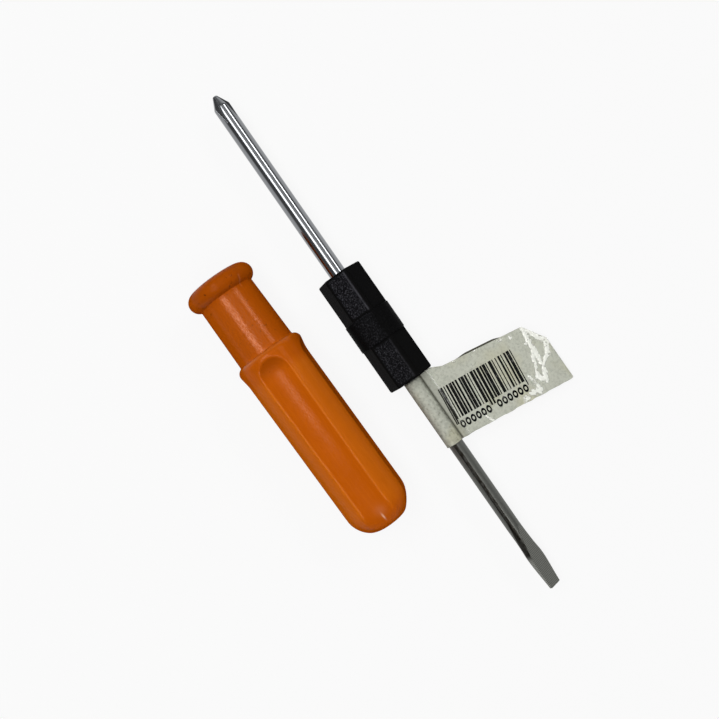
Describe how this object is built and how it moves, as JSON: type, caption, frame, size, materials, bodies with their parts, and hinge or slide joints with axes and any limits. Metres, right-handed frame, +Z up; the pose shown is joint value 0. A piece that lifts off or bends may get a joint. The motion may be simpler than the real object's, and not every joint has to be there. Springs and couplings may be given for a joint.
{
  "type": "pocket screwdriver",
  "caption": "Pocket screwdriver in two halves: hollow fluted plastic handle with a flanged mouth, and a reversible cross and slotted blade in a black hex carrier, with a folded flag label.",
  "frame": {"origin": "centre of the handle's hex socket mouth, on the handle's axis", "axes": "+X along the handle from its mouth to its closed end, +Y from the handle towards the blade lying beside it, +Z up from the surface that both lie on"},
  "size_m": [0.1687, 0.0771, 0.0208],
  "materials": {
    "orange_plastic": "moulded polypropylene, satin",
    "plated_steel": "chrome plated, spade faces ground",
    "black_plastic": "moulded nylon, spark-eroded panels on the flats",
    "label_paper": null,
    "clear_film": "clear adhesive film, slightly crinkled"
  },
  "bodies": {
    "handle": {"handle": "orange_plastic"},
    "blade_unit": {"blade": "plated_steel", "hex_carrier": "black_plastic", "label": "label_paper", "clear_tape": "clear_film"}
  },
  "joints": [
    {"name": "blade_draw", "type": "slide", "parent": "handle", "child": "blade_unit", "axis": [-1, 0, 0], "range_m": [0, 0.13]}
  ]
}
